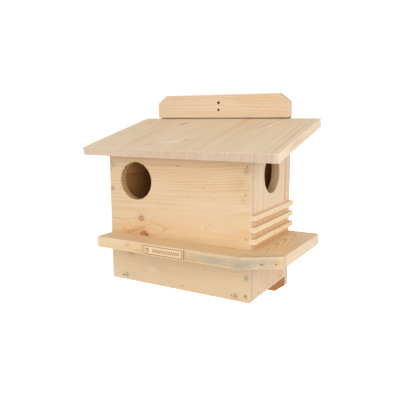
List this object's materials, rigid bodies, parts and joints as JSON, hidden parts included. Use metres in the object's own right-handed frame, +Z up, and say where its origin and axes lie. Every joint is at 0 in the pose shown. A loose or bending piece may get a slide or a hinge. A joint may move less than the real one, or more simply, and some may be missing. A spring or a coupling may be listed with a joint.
{
  "type": "squirrel nest house",
  "caption": "Plain spruce nest house hung by its back board, with round front and side entrances, a platform round two sides, a slat ladder and a loose sloping roof.",
  "frame": {"origin": "on the back plane of the back board, at the centre of the upper hanging hole", "axes": "+Z up, +X to the right seen from the front, +Y back into the tree or wall, so the front entrance faces -Y"},
  "size_m": [0.466, 0.276, 0.462],
  "materials": {
    "wall_spruce": "bare sawn and planed spruce, matt",
    "roof_spruce": "bare planed spruce, matt, paler",
    "platform_spruce": "bare planed spruce, matt, golden top and pale edges",
    "slat_spruce": "bare planed spruce, matt",
    "plaque_wood": "thin pale wood with a burnt line frame",
    "zinc_screw": "bright zinc",
    "steel_nail": "dull bare steel"
  },
  "bodies": {
    "box": {"back_wall": "wall_spruce", "left_wall": "wall_spruce", "right_wall": "wall_spruce", "front_wall": "wall_spruce", "floor_board": "wall_spruce", "front_platform": "platform_spruce", "side_platform": "platform_spruce", "upper_slat": "slat_spruce", "middle_slat": "slat_spruce", "lower_slat": "slat_spruce", "name_plaque": "plaque_wood", "inner_batten": "wall_spruce", "front_screws": "zinc_screw", "front_nails": "steel_nail", "back_screws": "zinc_screw", "floor_nails": "steel_nail", "slat_nails": "steel_nail", "platform_screws": "zinc_screw", "platform_nails": "steel_nail", "batten_nails": "steel_nail"},
    "lid": {"roof_board": "roof_spruce"}
  },
  "joints": [
    {"name": "roof_slide", "type": "slide", "parent": "box", "child": "lid", "axis": [0, -0.9694, -0.2453], "range_m": [0, 0.25]}
  ]
}
